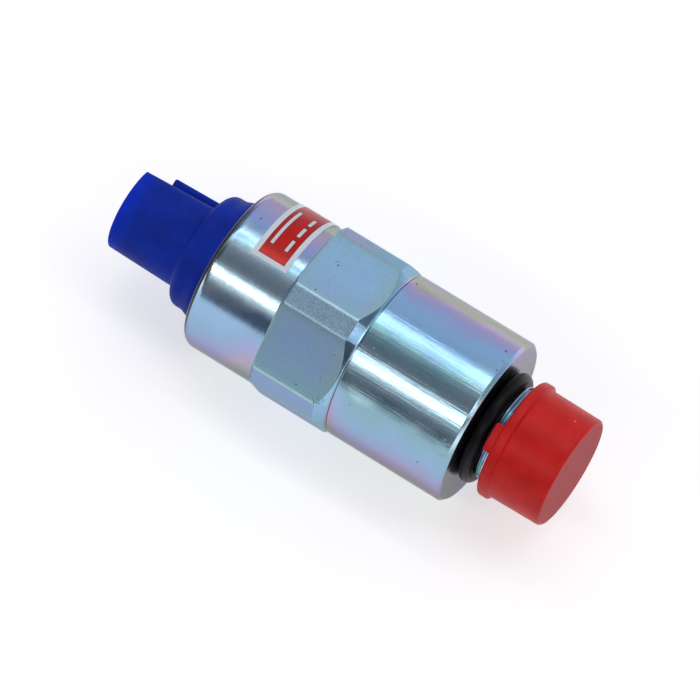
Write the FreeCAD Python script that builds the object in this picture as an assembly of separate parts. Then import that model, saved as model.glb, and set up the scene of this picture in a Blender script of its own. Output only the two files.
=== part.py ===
import FreeCAD, Part
import math
import os

# Fuel pump solenoid, lying on one flat of its hexagon. Millimetres and degrees.
# X runs along the axis towards the nose, x = 0 is the sealing shoulder, and Z is up.
# Angles round the axis count from +Z towards +Y.

# Housing, outside
can_radius = 13.25
can_length = 13.0
can_rear_edge = 1.76
can_wall = 2.05
hex_across_flats = 27.0
hex_across_corners = 29.2
hex_length = 13.1
hex_cone_angle = 40.0
hex_rear_chamfer = 0.5
groove_radius = 13.2
front_radius = 13.5
front_length = 20.0
front_bevel = 0.6
neck_radius = 7.0
neck_length = 2.3
thread_radius = 8.0
thread_depth = 0.6
nose_length = 9.2
nose_chamfer = 0.8

# Housing, inside
lip_thickness = 1.6
lip_overhang = 1.13
lip_edge = 0.4
front_wall = 6.0
seal_pocket_depth = 1.3
stop_depth = 5.0
stem_bore_radius = 3.3

# Connector moulding and its blades
key_angle = 55.5
flange_thickness = 2.5
collar_length = 6.75
collar_edge = 1.45
collar_flare = 0.6
collar_flare_length = 2.2
collar_flare_setback = 0.8
shroud_length = 12.05
shroud_base_radius = 7.2
shroud_mouth_radius = 7.0
shroud_fillet = 0.6
shroud_base_flat = 6.0
shroud_mouth_flat = 5.5
shroud_wall = 1.3
socket_depth = 11.8
rail_width = 4.0
rail_setback = 3.7
rail_base_height = 7.1
rail_mouth_height = 6.85
rail_edge = 0.5
blade_pitch = 5.0
blade_width = 2.8
blade_thickness = 0.8
blade_length = 7.0
blade_point = 0.8
arm_width = 1.5
arm_cover = 0.5
tail_width = 1.2
tail_entry = 1.2

# Coil
plate_thickness = 2.5
plate_slot_margin = 0.6
rear_flange = 2.0
front_flange = 1.2
bobbin_wall = 0.8
winding_margin = 0.7
lead_diameter = 0.5
lead_reach = 0.9
lead_slot_margin = 0.2

# Magnetic core, guide tube and plunger
tube_bore_radius = 4.65
tube_wall = 0.35
spigot_radius = 4.0
core_length = 17.5
shim_thickness = 0.3
travel = 2.5
stem_radius = 3.0
stem_reach = 2.6
tip_radius = 2.2
tip_socket = 1.5
tip_stand = 0.5
tip_edge = 0.3
bleed_width = 1.5
bleed_depth = 0.6
spring_mean_radius = 2.2
spring_wire = 0.6
spring_turns = 4.5
spring_seat_depth = 3.0
spring_bore_depth = 6.5

# Seals, washer, label and cap
nose_seal_wire = 2.2
nose_seal_gap = 0.08
flange_seal_wire = 1.1
tube_seal_wire = 1.2
washer_thickness = 1.2
label_width = 6.2
label_setback = 4.9
label_thickness = 0.12
label_start_angle = -20.7
label_end_angle = 84.0
cap_wall = 1.03
cap_taper = 0.12
cap_floor = 1.1
cap_bead_height = 0.55
cap_bead_length = 1.7
cap_edge = 0.6
cap_step = 1.0
cap_tab_width = 4.7
cap_tab_length = 1.15
cap_tab_angle = -43.6

# Clearances
slip = 0.05
loose = 0.1
contact = 0.02
cap_to_tip = 1.0
cap_to_seal = 0.47

# How round the small rounds are: an edge radius of a millimetre or more takes several chords,
# a smaller one is a single broken edge. Then the sides of the sealing ring and of the wires, and
# the chords of the collar's flare
large_edge = 1.0
large_edge_chords = 3
ring_sides = 8
wire_sides = 6
flare_chords = 3

# Stations along the axis
hex_front_x = -front_length
hex_rear_x = hex_front_x - hex_length
can_rear_x = hex_rear_x - can_length
lip_inner_x = can_rear_x + lip_thickness
flange_front_x = lip_inner_x + flange_thickness
collar_rear_x = lip_inner_x - collar_length
mouth_x = collar_rear_x - shroud_length
socket_floor_x = mouth_x + socket_depth
bobbin_rear_x = flange_front_x + plate_thickness
front_wall_x = -front_wall
bobbin_front_x = front_wall_x - washer_thickness
seal_pocket_x = front_wall_x + seal_pocket_depth
stop_x = front_wall_x + stop_depth
core_front_x = bobbin_rear_x + core_length
spring_seat_x = core_front_x - spring_seat_depth
plunger_rear_x = core_front_x + shim_thickness + travel + slip
plunger_front_x = stop_x - slip
spring_bore_x = plunger_rear_x + spring_bore_depth
stem_end_x = nose_length + stem_reach
tip_end_x = stem_end_x + tip_stand

# Radii that follow from what they hold
coil_bore_radius = can_radius - can_wall
lip_radius = coil_bore_radius - lip_overhang
collar_root_radius = lip_radius - loose
collar_radius = collar_root_radius - collar_flare
flange_radius = coil_bore_radius - loose
thread_root_radius = thread_radius - thread_depth
tube_radius = tube_bore_radius + tube_wall
piston_radius = tube_bore_radius - slip
bobbin_bore_radius = tube_radius + loose
bobbin_tube_radius = bobbin_bore_radius + bobbin_wall
bobbin_flange_radius = coil_bore_radius - 2 * loose
winding_radius = bobbin_flange_radius - winding_margin
lead_radius = winding_radius - lead_diameter
tail_centre = lead_radius - lead_reach - tail_width / 2
seal_pocket_radius = tube_radius + tube_seal_wire + 2 * contact
spring_bore_radius = spring_mean_radius + spring_wire / 2 + 3 * loose
nose_seal_x = nose_seal_gap + nose_seal_wire / 2
nose_seal_radius = neck_radius + contact + nose_seal_wire / 2


def rounding(back, corner, ahead, radius):
    """The points that round one corner between its neighbours."""
    to_back = (back - corner).normalize()
    to_ahead = (ahead - corner).normalize()
    half = to_back.getAngle(to_ahead) / 2
    reach = radius / math.tan(half)
    middle = (to_back + to_ahead).normalize()
    crest = corner + middle * (radius / math.sin(half) - radius)
    arc = Part.Arc(corner + to_back * reach, crest, corner + to_ahead * reach)
    chords = large_edge_chords if radius >= large_edge else 1
    return arc.discretize(chords + 1)


def outline(corners):
    """A closed wire through (x, height, radius) corners in the XZ plane, rounded at each corner."""
    points = [FreeCAD.Vector(x, 0, height) for x, height, radius in corners]
    path = []
    for i, corner in enumerate(points):
        radius = corners[i][2]
        ahead = points[(i + 1) % len(points)]
        path += rounding(points[i - 1], corner, ahead, radius) if radius > 0 else [corner]
    return Part.makePolygon(path + path[:1])


def turned(corners, angle=360.0):
    """The solid of revolution of a closed (x, radius, rounding) outline about the axis."""
    face = Part.Face(outline(corners))
    return face.revolve(FreeCAD.Vector(0, 0, 0), FreeCAD.Vector(1, 0, 0), angle)


def ring(rear_x, front_x, inner, outer):
    """A plain ring with square edges."""
    return turned([(rear_x, inner, 0), (rear_x, outer, 0), (front_x, outer, 0), (front_x, inner, 0)])


def rod(rear_x, front_x, radius):
    """A plain round bar on the axis."""
    start = FreeCAD.Vector(rear_x, 0, 0)
    return Part.makeCylinder(radius, front_x - rear_x, start, FreeCAD.Vector(1, 0, 0))


def wire_section(centre_x, centre_height, wire, sides):
    """The outline of a round wire's section in the XZ plane, with the given number of sides."""
    turns = [2 * math.pi * (i + 0.5) / sides for i in range(sides)]
    reach = wire / 2 / math.cos(math.pi / sides)
    return [(centre_x + reach * math.cos(t), centre_height + reach * math.sin(t), 0) for t in turns]


def slab(corners, middle_y, width):
    """A side outline in the XZ plane, made width thick about middle_y."""
    face = Part.Face(outline(corners))
    face.translate(FreeCAD.Vector(0, middle_y - width / 2, 0))
    return face.extrude(FreeCAD.Vector(0, width, 0))


def block(x_range, y_range, z_range):
    """A box between the given limits."""
    size = [high - low for low, high in (x_range, y_range, z_range)]
    return Part.makeBox(*size, FreeCAD.Vector(x_range[0], y_range[0], z_range[0]))


def turn_about_axis(shape, angle):
    """Carries what points up to the given angle round the axis."""
    turned_copy = shape.copy()
    turned_copy.rotate(FreeCAD.Vector(0, 0, 0), FreeCAD.Vector(1, 0, 0), -angle)
    return turned_copy


def hexagon_bar(across_flats, first_flat_angle):
    """A hexagonal bar over the hexagon's length, with one flat facing first_flat_angle."""
    corner_radius = across_flats / 2 / math.cos(math.radians(30))
    angles = [math.radians(first_flat_angle + 30 + 60 * i) for i in range(6)]
    corners = [FreeCAD.Vector(hex_rear_x, corner_radius * math.sin(a), corner_radius * math.cos(a))
               for a in angles]
    section = Part.makePolygon(corners + corners[:1])
    return Part.Face(section).extrude(FreeCAD.Vector(hex_length, 0, 0))


def hexagon():
    """The hexagon with its blunt corners, the turned cone in front and the broken rear edge."""
    bar = hexagon_bar(hex_across_flats, 0).common(hexagon_bar(hex_across_corners, 30))
    outer = hex_across_corners / 2 + hex_rear_chamfer
    cone_reach = (outer - groove_radius) / math.tan(math.radians(hex_cone_angle))
    envelope = turned([
        (hex_rear_x, 0, 0),
        (hex_rear_x, outer - 2 * hex_rear_chamfer, 0),
        (hex_rear_x + 2 * hex_rear_chamfer, outer, 0),
        (hex_front_x - cone_reach, outer, 0),
        (hex_front_x, groove_radius, 0),
        (hex_front_x, 0, 0),
    ])
    core = rod(hex_rear_x, hex_front_x, (coil_bore_radius + can_radius) / 2)
    return bar.common(envelope).cut(core)


def turned_housing():
    """Everything on the housing that is turned: can, front cylinder, neck, nose and bores."""
    middle_x = (hex_rear_x + hex_front_x) / 2
    return turned([
        (can_rear_x, lip_radius, lip_edge),
        (can_rear_x, can_radius, can_rear_edge),
        (middle_x, can_radius, 0),
        (middle_x, groove_radius, 0),
        (hex_front_x, groove_radius, 0),
        (hex_front_x, front_radius, 0),
        (-front_bevel, front_radius, 0),
        (0, front_radius - front_bevel, 0),
        (0, neck_radius, 0),
        (neck_length, neck_radius, 0),
        (neck_length + thread_root_radius - neck_radius, thread_root_radius, 0),
        (nose_length - nose_chamfer, thread_root_radius, 0),
        (nose_length, thread_root_radius - nose_chamfer, 0),
        (nose_length, stem_bore_radius, 0),
        (stop_x, stem_bore_radius, 0),
        (stop_x, tube_radius + contact, 0),
        (seal_pocket_x, tube_radius + contact, 0),
        (seal_pocket_x, seal_pocket_radius, 0),
        (front_wall_x, seal_pocket_radius, 0),
        (front_wall_x, coil_bore_radius, 0),
        (lip_inner_x, coil_bore_radius, 0),
        (lip_inner_x, lip_radius, 0),
    ])


def housing():
    return turned_housing().fuse(hexagon()).removeSplitter()


def blade_terminal(side):
    """A stamped blade: the tab in the socket, an arm out to the side, and a tail into the coil."""
    tab_centre = side * blade_pitch / 2
    tab_inner = tab_centre - side * blade_width / 2
    tab_outer = tab_centre + side * blade_width / 2
    tab_point = side * blade_width / 2 - side * blade_point / 2
    tip_x = socket_floor_x - blade_length
    arm_rear_x = lip_inner_x - arm_width - arm_cover
    arm_front_x = arm_rear_x + arm_width
    tail_inner = side * (tail_centre - tail_width / 2)
    tail_outer = side * (tail_centre + tail_width / 2)
    tail_end_x = bobbin_rear_x + tail_entry
    stamping = [
        (tip_x, tab_centre - tab_point),
        (tip_x, tab_centre + tab_point),
        (tip_x + blade_point, tab_outer),
        (arm_rear_x, tab_outer),
        (arm_rear_x, tail_outer),
        (tail_end_x, tail_outer),
        (tail_end_x, tail_inner),
        (arm_front_x, tail_inner),
        (arm_front_x, tab_inner),
        (tip_x + blade_point, tab_inner),
    ]
    corners = [FreeCAD.Vector(x, y, -blade_thickness / 2) for x, y in stamping]
    face = Part.Face(Part.makePolygon(corners + corners[:1]))
    return face.extrude(FreeCAD.Vector(0, 0, blade_thickness))


def flatted(bar, rear_flat, front_flat):
    """A round bar with one flat cut on its upper side. The flat may slope."""
    box = bar.BoundBox
    above = 2 * box.ZMax
    removed = slab([
        (box.XMin, rear_flat, 0),
        (box.XMax, front_flat, 0),
        (box.XMax, above, 0),
        (box.XMin, above, 0),
    ], 0, 2 * above)
    return bar.cut(removed)


def flare():
    """The corners of the collar's outline where it swells, in a soft S, towards the can's rim."""
    corners = []
    end_x = can_rear_x - collar_flare_setback
    for i in range(flare_chords + 1):
        share = i / flare_chords
        swell = collar_flare * share * share * (3 - 2 * share)
        corners.append((end_x - collar_flare_length * (1 - share), collar_radius + swell, 0))
    return corners


def connector_body():
    """The blue moulding: flange under the lip, collar, shroud with one flat, rail and socket."""
    seal_rear_x = flange_front_x - flange_seal_wire - contact
    seal_floor = coil_bore_radius - flange_seal_wire - 2 * contact
    root = turned([
        (collar_rear_x, 0, 0),
        (collar_rear_x, collar_radius, collar_edge),
        *flare(),
        (lip_inner_x, collar_root_radius, 0),
        (lip_inner_x, flange_radius, 0),
        (seal_rear_x, flange_radius, 0),
        (seal_rear_x, seal_floor, 0),
        (flange_front_x, seal_floor, 0),
        (flange_front_x, 0, 0),
    ])
    shroud = flatted(turned([
        (mouth_x, 0, 0),
        (mouth_x, shroud_mouth_radius, 0),
        (collar_rear_x - shroud_fillet, shroud_base_radius, 0),
        (collar_rear_x, shroud_base_radius + shroud_fillet, 0),
        (collar_rear_x, 0, 0),
    ]), shroud_mouth_flat, shroud_base_flat)
    socket_flat = shroud_mouth_flat - shroud_wall
    socket_bar = rod(mouth_x, socket_floor_x, shroud_mouth_radius - shroud_wall)
    socket = flatted(socket_bar, socket_flat, socket_flat)
    rail_rear_x = mouth_x + rail_setback
    rail_foot = shroud_mouth_flat - shroud_wall / 2
    rail_front_x = collar_rear_x + collar_edge
    rail = slab([
        (rail_rear_x, rail_foot, 0),
        (rail_rear_x, rail_mouth_height, rail_edge),
        (rail_front_x, rail_base_height, 0),
        (rail_front_x, rail_foot, 0),
    ], 0, rail_width)
    body = root.fuse([shroud, rail]).cut(socket)
    return body.cut([blade_terminal(-1), blade_terminal(1)]).removeSplitter()


def rear_flux_plate():
    """The steel disc behind the coil, with a hole for the core and a slot for each tail."""
    plate = ring(flange_front_x, bobbin_rear_x, spigot_radius + contact, flange_radius)
    slots = []
    half_wide = tail_width / 2 + plate_slot_margin
    half_deep = blade_thickness / 2 + plate_slot_margin
    for side in (-1, 1):
        middle = side * tail_centre
        slots.append(block((flange_front_x, bobbin_rear_x), (middle - half_wide, middle + half_wide),
                           (-half_deep, half_deep)))
    return plate.cut(slots)


def bobbin():
    """The moulded coil former. Its rear flange takes the blades' tails and the coil's two ends."""
    spool = turned([
        (bobbin_rear_x, bobbin_bore_radius, 0),
        (bobbin_rear_x, bobbin_flange_radius, 0),
        (bobbin_rear_x + rear_flange, bobbin_flange_radius, 0),
        (bobbin_rear_x + rear_flange, bobbin_tube_radius, 0),
        (bobbin_front_x - front_flange, bobbin_tube_radius, 0),
        (bobbin_front_x - front_flange, bobbin_flange_radius, 0),
        (bobbin_front_x, bobbin_flange_radius, 0),
        (bobbin_front_x, bobbin_bore_radius, 0),
    ])
    pockets = []
    half_wide = tail_width / 2 + contact
    half_deep = blade_thickness / 2 + contact
    half_slot = lead_diameter / 2 + lead_slot_margin
    for side in (-1, 1):
        middle = side * tail_centre
        pockets.append(block((bobbin_rear_x, bobbin_rear_x + tail_entry + contact),
                             (middle - half_wide, middle + half_wide), (-half_deep, half_deep)))
        slot_ends = sorted((middle, side * (lead_radius + half_slot)))
        pockets.append(block((bobbin_rear_x, bobbin_rear_x + rear_flange), slot_ends,
                             (-half_slot, half_slot)))
    return spool.cut(pockets)


def coil_lead(side):
    """One end of the winding: straight back through the flange, then in to its tail."""
    turn_x = bobbin_rear_x + tail_entry / 2
    start = FreeCAD.Vector(bobbin_rear_x + rear_flange, side * lead_radius, 0)
    corner = FreeCAD.Vector(turn_x, side * lead_radius, 0)
    end = FreeCAD.Vector(turn_x, side * (tail_centre + tail_width / 2), 0)
    path = Part.makePolygon([start, corner, end])
    section = [start + FreeCAD.Vector(0, across, up)
               for across, up, edge in wire_section(0, 0, lead_diameter, wire_sides)]
    square_corner = 1
    return path.makePipeShell([Part.makePolygon(section + section[:1])], True, False, square_corner)


def fixed_core():
    """The pole piece, with its spigot in the rear plate and the spring's seat in its face."""
    return turned([
        (flange_front_x, 0, 0),
        (flange_front_x, spigot_radius, 0),
        (bobbin_rear_x, spigot_radius, 0),
        (bobbin_rear_x, piston_radius, 0),
        (core_front_x, piston_radius, 0),
        (core_front_x, spring_bore_radius, 0),
        (spring_seat_x, spring_bore_radius, 0),
        (spring_seat_x, 0, 0),
    ])


def guide_tube():
    return ring(bobbin_rear_x, stop_x, tube_bore_radius, tube_radius)


def plunger():
    """The armature: a piston with two bleed grooves, the spring's bore, and the stem to the valve pad."""
    body = turned([
        (plunger_rear_x, spring_bore_radius, 0),
        (plunger_rear_x, piston_radius, 0),
        (plunger_front_x, piston_radius, 0),
        (plunger_front_x, stem_radius, 0),
        (stem_end_x, stem_radius, tip_edge),
        (stem_end_x, tip_radius + contact, 0),
        (stem_end_x - tip_socket, tip_radius + contact, 0),
        (stem_end_x - tip_socket, 0, 0),
        (spring_bore_x, 0, 0),
        (spring_bore_x, spring_bore_radius, 0),
    ])
    floor = piston_radius - bleed_depth
    groove = block((plunger_rear_x, plunger_front_x), (-bleed_width / 2, bleed_width / 2),
                   (floor, 2 * piston_radius))
    return body.cut([groove, turn_about_axis(groove, 180)])


def plunger_tip():
    """The rubber valve pad, set in the stem's end."""
    return turned([
        (stem_end_x - tip_socket, 0, 0),
        (stem_end_x - tip_socket, tip_radius, 0),
        (tip_end_x, tip_radius, tip_edge),
        (tip_end_x, 0, 0),
    ])


def return_spring():
    """A helical spring between the core's seat and the bottom of the plunger's bore."""
    first_x = spring_seat_x + spring_wire / 2 + 2 * contact
    last_x = spring_bore_x - spring_wire / 2 - 2 * contact
    length = last_x - first_x
    helix = Part.makeHelix(length / spring_turns, length, spring_mean_radius)
    section = [FreeCAD.Vector(height, 0, x)
               for x, height, edge in wire_section(0, spring_mean_radius, spring_wire, wire_sides)]
    coil = Part.Wire(helix.Edges).makePipeShell([Part.makePolygon(section + section[:1])], True, True)
    coil.rotate(FreeCAD.Vector(0, 0, 0), FreeCAD.Vector(0, 1, 0), 90)
    coil.translate(FreeCAD.Vector(first_x, 0, 0))
    return coil


def rating_label():
    """A printed band that wraps part of the can."""
    rear_x = can_rear_x + label_setback
    inner = can_radius + contact / 2
    outer = inner + label_thickness
    band = turned([
        (rear_x, inner, 0),
        (rear_x, outer, 0),
        (rear_x + label_width, outer, 0),
        (rear_x + label_width, inner, 0),
    ], label_end_angle - label_start_angle)
    return turn_about_axis(band, label_end_angle)


def protective_cap():
    """The push-on cap: bead at the mouth, stepped bore that stops on the nose's end, and pull tab."""
    tab_end_x = nose_seal_x + nose_seal_wire / 2 + cap_to_seal
    cap_mouth_x = tab_end_x + cap_tab_length
    bead_front_x = cap_mouth_x + cap_bead_length
    bore = thread_radius + slip
    outer = bore + cap_wall
    bead = outer + cap_bead_height
    step_x = nose_length + slip
    floor_x = tip_end_x + cap_to_tip
    end_x = floor_x + cap_floor
    shell = turned([
        (cap_mouth_x, bore, 0),
        (cap_mouth_x, bead, cap_bead_height),
        (bead_front_x, bead, cap_bead_height),
        (bead_front_x, outer, 0),
        (end_x, outer - cap_taper, cap_edge),
        (end_x, 0, 0),
        (floor_x, 0, 0),
        (floor_x, bore - cap_step, 0),
        (step_x, bore - cap_step, 0),
        (step_x, bore, 0),
    ])
    lug = ring(tab_end_x, cap_mouth_x + cap_bead_length / 2, bore, bead - cap_bead_height / 2)
    strip = block((tab_end_x, bead_front_x), (-cap_tab_width / 2, cap_tab_width / 2), (0, 2 * bead))
    return shell.fuse(turn_about_axis(lug.common(strip), cap_tab_angle)).removeSplitter()


def clocked(shape):
    """Turns what was drawn with its key upwards to the connector's own angle."""
    return turn_about_axis(shape, key_angle)


parts = {
    "housing": housing(),
    "nose_o_ring": turned(wire_section(nose_seal_x, nose_seal_radius, nose_seal_wire, ring_sides)),
    "connector_body": clocked(connector_body()),
    "terminal_left": clocked(blade_terminal(-1)),
    "terminal_right": clocked(blade_terminal(1)),
    "connector_seal": ring(flange_front_x - flange_seal_wire, flange_front_x,
                           coil_bore_radius - flange_seal_wire - contact, coil_bore_radius - contact),
    "rear_flux_plate": clocked(rear_flux_plate()),
    "bobbin": clocked(bobbin()),
    "winding": ring(bobbin_rear_x + rear_flange, bobbin_front_x - front_flange,
                    bobbin_tube_radius, winding_radius),
    "coil_lead_left": clocked(coil_lead(-1)),
    "coil_lead_right": clocked(coil_lead(1)),
    "fixed_core": fixed_core(),
    "guide_tube": guide_tube(),
    "tube_seal": ring(front_wall_x, front_wall_x + tube_seal_wire,
                      tube_radius + contact, tube_radius + contact + tube_seal_wire),
    "coil_washer": ring(bobbin_front_x, front_wall_x, bobbin_tube_radius, bobbin_flange_radius),
    "residual_shim": ring(core_front_x, core_front_x + shim_thickness, spring_bore_radius, piston_radius),
    "plunger": plunger(),
    "plunger_tip": plunger_tip(),
    "return_spring": return_spring(),
    "rating_label": rating_label(),
    "protective_cap": protective_cap(),
}

os.makedirs("parts", exist_ok=True)
for name, shape in parts.items():
    shape.exportStep("parts/" + name + ".step")
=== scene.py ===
import math

import bmesh
import bpy
from mathutils import Matrix, Vector


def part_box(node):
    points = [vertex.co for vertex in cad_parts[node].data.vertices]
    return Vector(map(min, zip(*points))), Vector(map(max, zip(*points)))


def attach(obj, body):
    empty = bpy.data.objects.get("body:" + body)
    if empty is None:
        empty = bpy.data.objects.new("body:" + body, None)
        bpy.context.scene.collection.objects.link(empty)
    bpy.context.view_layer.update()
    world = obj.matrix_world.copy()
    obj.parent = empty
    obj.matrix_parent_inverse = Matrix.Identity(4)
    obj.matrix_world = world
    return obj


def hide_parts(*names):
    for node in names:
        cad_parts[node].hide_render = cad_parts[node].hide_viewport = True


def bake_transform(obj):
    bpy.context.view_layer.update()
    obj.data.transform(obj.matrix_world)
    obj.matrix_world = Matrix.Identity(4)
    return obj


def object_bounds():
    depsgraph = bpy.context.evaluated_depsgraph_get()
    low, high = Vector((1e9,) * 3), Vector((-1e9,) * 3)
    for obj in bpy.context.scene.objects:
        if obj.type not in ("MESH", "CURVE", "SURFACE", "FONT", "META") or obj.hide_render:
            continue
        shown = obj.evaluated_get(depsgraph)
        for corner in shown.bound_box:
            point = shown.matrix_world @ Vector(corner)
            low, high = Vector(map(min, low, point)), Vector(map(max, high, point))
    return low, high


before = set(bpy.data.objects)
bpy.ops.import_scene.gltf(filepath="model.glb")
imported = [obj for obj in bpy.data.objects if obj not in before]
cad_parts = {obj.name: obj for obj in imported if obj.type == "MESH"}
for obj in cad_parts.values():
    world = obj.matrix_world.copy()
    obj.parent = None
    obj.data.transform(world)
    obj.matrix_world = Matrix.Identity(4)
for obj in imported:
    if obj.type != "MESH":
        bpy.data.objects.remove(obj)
cad_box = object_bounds()

# Lengths are millimetres and angles degrees until a mesh is made. The floor, the lights and the
# camera are placed in metres. X is the object's axis, towards the nose, and angles round it count
# from +Z towards +Y.
MM = 0.001

# How many steps a round piece has round the axis
round_steps = 160
housing_steps = 180
shroud_steps = 240

# Housing, as in the frame
housing_low, housing_high = (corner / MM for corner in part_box("housing"))
can_rear_x = housing_low.x
nose_x = housing_high.x
hex_half_flats = housing_high.z
hex_half_corners = housing_high.y
front_radius = housing_high.z
can_radius = 13.25
can_rear_edge = 1.76
hex_front_x = -20.0
hex_rear_x = -33.1
hex_cone_angle = 40.0
hex_chamfer_radius = 14.1
hex_edge = 0.16
groove_radius = 13.2
groove_fillet = 0.08
front_step_edge = 0.26
front_bevel = 0.6
front_bevel_edge = 0.35
neck_radius = 7.0
neck_end_x = 2.3
neck_fillet = 0.15
thread_radius = 8.0
thread_root_radius = 7.4
thread_pitch = 1.0
thread_run_out = 0.46
nose_chamfer = 0.8

# Housing, inside
lip_inner_x = -44.5
lip_radius = 10.07
lip_edge = 0.4
coil_bore_radius = 11.2
front_wall_x = -6.0
seal_pocket_x = -4.7
seal_pocket_radius = 6.24
stop_x = -1.0
tube_seat_radius = 5.02
stem_bore_radius = 3.3

# Connector moulding
key_angle = 55.5
connector_low, connector_high = (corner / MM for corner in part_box("connector_body"))
mouth_x = connector_low.x
flange_front_x = connector_high.x
flange_radius = connector_high.z
seal_rear_x = -43.12
seal_floor_radius = 10.06
collar_rear_x = -51.25
collar_radius = 9.37
collar_edge = 1.45
collar_root_radius = 9.97
flare_start_x = -49.1
flare_end_x = -46.9
shroud_base_radius = 7.2
shroud_mouth_radius = 7.0
shroud_fillet = 0.9
shroud_edge = 0.1
shroud_base_flat = 6.0
shroud_mouth_flat = 5.5
shroud_wall = 1.3
socket_floor_x = -51.5
rail_rear_x = -59.6
rail_width = 4.0
rail_mouth_height = 6.85
rail_base_height = 7.1
rail_edge = 0.35

# Ring, label and cap
seal_wire = 2.2
seal_x = 1.18
seal_radius = 8.12
label_start = -20.7
label_end = 84.0
label_low, label_high = (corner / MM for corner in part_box("rating_label"))
label_inner = 13.262
label_outer = 13.37
label_edge = 0.04
cap_low, cap_high = (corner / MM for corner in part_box("protective_cap"))
cap_end_x = cap_high.x
tab_end_x = cap_low.x
cap_mouth_x = 3.9
cap_mouth_chamfer = 0.15
cap_bead_length = 1.7
cap_bead = 9.63
cap_bead_edge = 0.55
cap_radius = 9.08
cap_end_radius = 8.96
cap_bore = 8.05
cap_edge = 0.6
cap_step_slant = 0.1
cap_step_fillet = 0.24
cap_step_x = 9.25
cap_pocket = 7.05
cap_floor_x = 13.3
cap_tab_angle = -43.6
cap_tab_width = 4.7
cap_tab_corner = 0.35
cap_tab_radius = 9.355

# Return spring, between the pole piece and the plunger
spring_low, spring_high = (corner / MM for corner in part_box("return_spring"))
spring_wire = 0.6
spring_mean_radius = 2.2
spring_turns = 4.5


def polar(x, radius, angle):
    """A point in metres from its place along the axis, radius and angle round the axis."""
    turn = math.radians(angle)
    return Vector((x, radius * math.sin(turn), radius * math.cos(turn))) * MM


def arc(centre_x, centre_r, radius, start, end, steps):
    """Points of an arc in the (x, radius) plane, with angles from +x towards +radius."""
    turns = [math.radians(start + (end - start) * i / steps) for i in range(steps + 1)]
    return [(centre_x + radius * math.cos(turn), centre_r + radius * math.sin(turn)) for turn in turns]


def circle(centre_x, centre_r, radius, sides):
    return arc(centre_x, centre_r, radius, 0, 360 - 360 / sides, sides - 1)


def rounded(corners, steps=6):
    """The (x, radius) points of an open path of (x, radius, rounding) corners."""
    path = []
    for i, (x, r, rounding) in enumerate(corners):
        corner = Vector((x, r))
        if rounding == 0 or i in (0, len(corners) - 1):
            path.append((x, r))
            continue
        back = (Vector(corners[i - 1][:2]) - corner).normalized()
        ahead = (Vector(corners[i + 1][:2]) - corner).normalized()
        half = back.angle(ahead) / 2
        centre = corner + (back + ahead).normalized() * rounding / math.sin(half)
        start = corner + back * rounding / math.tan(half) - centre
        sweep = start.angle_signed(corner + ahead * rounding / math.tan(half) - centre)
        for k in range(steps + 1):
            spoke = start.copy()
            spoke.rotate(Matrix.Rotation(-sweep * k / steps, 2))
            path.append(tuple(centre + spoke))
    return path


def mark_edges(shape, sharp_angle=38.0):
    """Smooth faces, with the edges that turn more than the given angle kept sharp."""
    for face in shape.faces:
        face.smooth = True
    for edge in shape.edges:
        edge.smooth = edge.calc_face_angle(0) < math.radians(sharp_angle)


def add_piece(name, shape):
    """Makes an object from a bmesh, with normals that keep broad faces flat."""
    same_place = 1e-8
    bmesh.ops.remove_doubles(shape, verts=shape.verts, dist=same_place)
    bmesh.ops.dissolve_degenerate(shape, edges=shape.edges, dist=same_place)
    bmesh.ops.recalc_face_normals(shape, faces=shape.faces)
    mark_edges(shape)
    mesh = bpy.data.meshes.new(name)
    shape.to_mesh(mesh)
    shape.free()
    piece = bpy.data.objects.new(name, mesh)
    bpy.context.scene.collection.objects.link(piece)
    return piece


def keep_flats(piece):
    normals = piece.modifiers.new("flat faces stay flat", "WEIGHTED_NORMAL")
    normals.keep_sharp = True


def turned_piece(name, stations, column, loop=False, wrap=True):
    """A surface through one (x, radius) column per angle. A loop column closes on itself."""
    shape = bmesh.new()
    rows = [[shape.verts.new(polar(x, r, angle)) for x, r in column(angle)] for angle in stations]
    count = len(rows[0])
    for i in range(len(rows) if wrap else len(rows) - 1):
        here, there = rows[i], rows[(i + 1) % len(rows)]
        for k in range(count if loop else count - 1):
            ahead = (k + 1) % count
            shape.faces.new((here[k], here[ahead], there[ahead], there[k]))
    if not wrap:
        shape.faces.new(rows[0])
        shape.faces.new(rows[-1])
    return add_piece(name, shape)


def even_angles(count):
    return [360.0 * i / count for i in range(count)]


def combine(piece, tool, operation):
    """Joins the tool to the piece, or cuts it away, and removes the tool."""
    step = piece.modifiers.new(operation, "BOOLEAN")
    step.object = tool
    step.operation = operation
    step.solver = "EXACT"
    bpy.context.view_layer.update()
    seen = piece.evaluated_get(bpy.context.evaluated_depsgraph_get())
    mesh = bpy.data.meshes.new_from_object(seen)
    piece.modifiers.clear()
    shape = bmesh.new()
    shape.from_mesh(mesh)
    mark_edges(shape)
    shape.to_mesh(mesh)
    shape.free()
    piece.data = mesh
    bpy.data.objects.remove(tool)


# The housing's section across the hexagon: six flats and six blunt corners
corner_crispness = 150
corner_half_angle = 30.0 - math.degrees(math.atan2(
    (hex_half_corners - hex_half_flats * math.cos(math.radians(30))) / math.sin(math.radians(30)),
    hex_half_flats))


def hex_reach(angle):
    """The hexagon's radius at an angle, with its edges a little rounded."""
    from_flat = math.radians((angle + 30) % 60 - 30)
    from_corner = math.radians(angle % 60 - 30)
    flat = hex_half_flats / math.cos(from_flat)
    blunt = hex_half_corners / math.cos(from_corner)
    share = flat ** -corner_crispness + blunt ** -corner_crispness
    return share ** (-1 / corner_crispness)


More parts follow.
